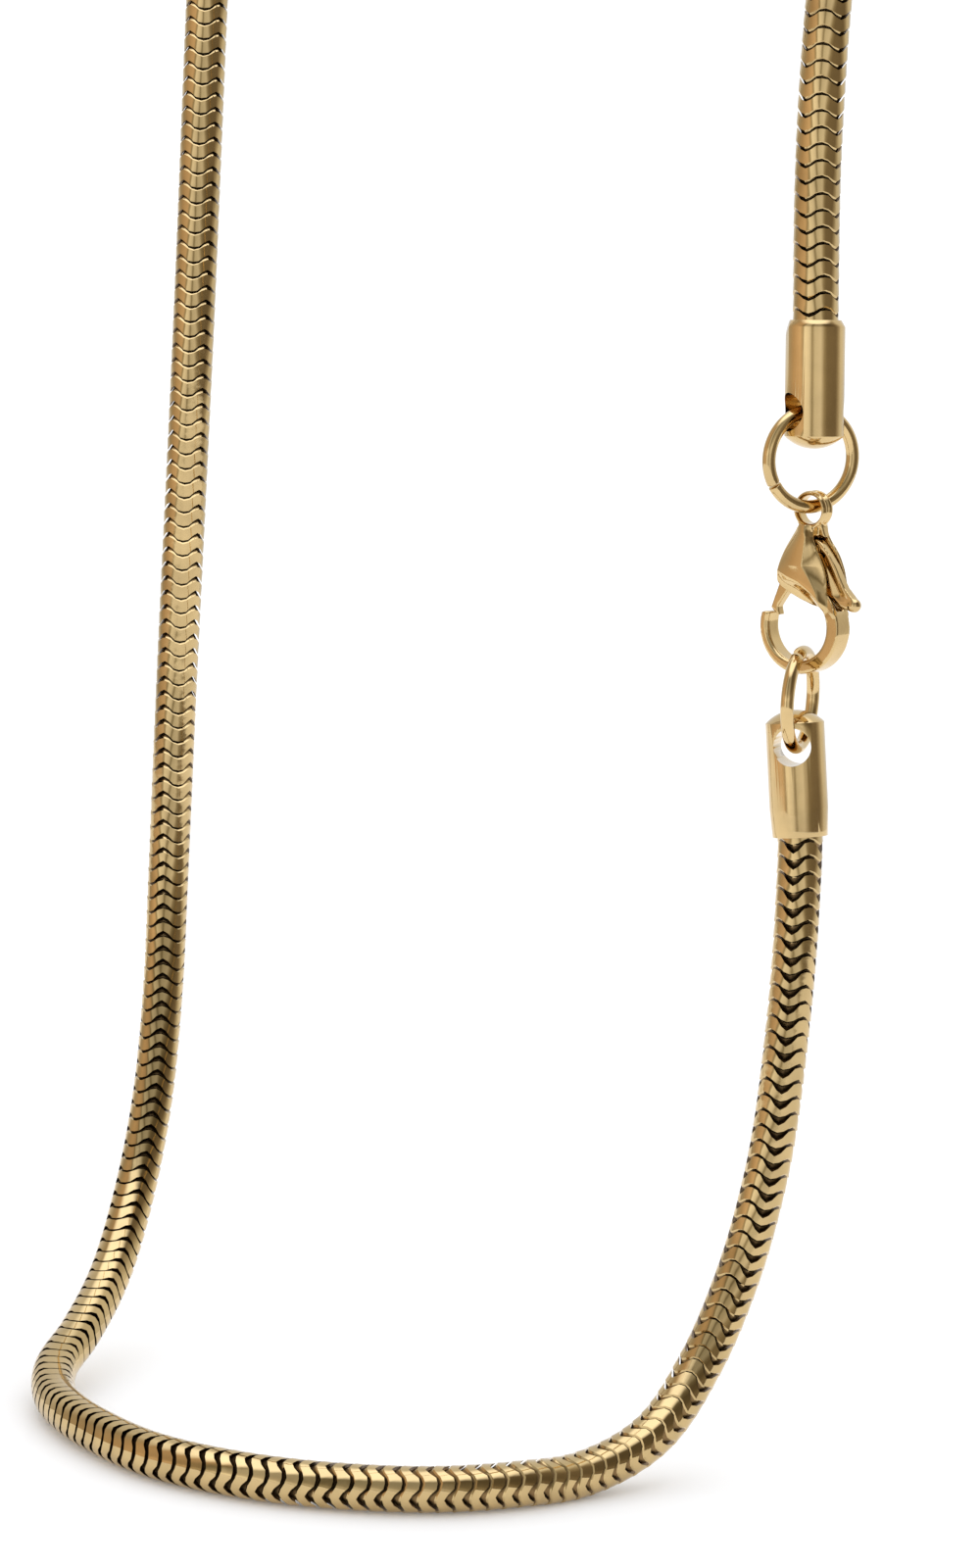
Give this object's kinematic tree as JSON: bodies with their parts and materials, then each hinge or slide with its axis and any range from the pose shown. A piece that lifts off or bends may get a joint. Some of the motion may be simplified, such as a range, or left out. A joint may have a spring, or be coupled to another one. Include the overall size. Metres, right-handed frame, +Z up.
{
  "type": "snake chain necklace",
  "caption": "Round snake chain necklace closed by two drilled end caps, two jump rings and a sprung lobster clasp, shown hanging in a loop.",
  "frame": {"origin": "underside of the chain at the top of its arch, where the necklace hangs", "axes": "+Z up, -Y towards the front, +X to the right as seen from the front"},
  "size_m": [0.0706, 0.0701, 0.1861],
  "materials": {
    "chain_gold": "polished",
    "polished_gold": "polished"
  },
  "bodies": {
    "necklace": {"chain": "chain_gold", "upper_end_cap": "polished_gold", "lower_end_cap": "polished_gold", "upper_jump_ring": "polished_gold", "lower_jump_ring": "polished_gold", "clasp_body": "polished_gold", "clasp_pin": "polished_gold"},
    "lever": {"clasp_lever": "polished_gold"}
  },
  "joints": [
    {"name": "lever_pivot", "type": "hinge", "parent": "necklace", "child": "lever", "pos_m": [0.02806, -0.02388, -0.10073], "axis": [-0.6157, -0.788, 0], "range_deg": [0, 20], "stiffness_Nm_per_rad": 0.005, "springref_deg": -28.65}
  ]
}
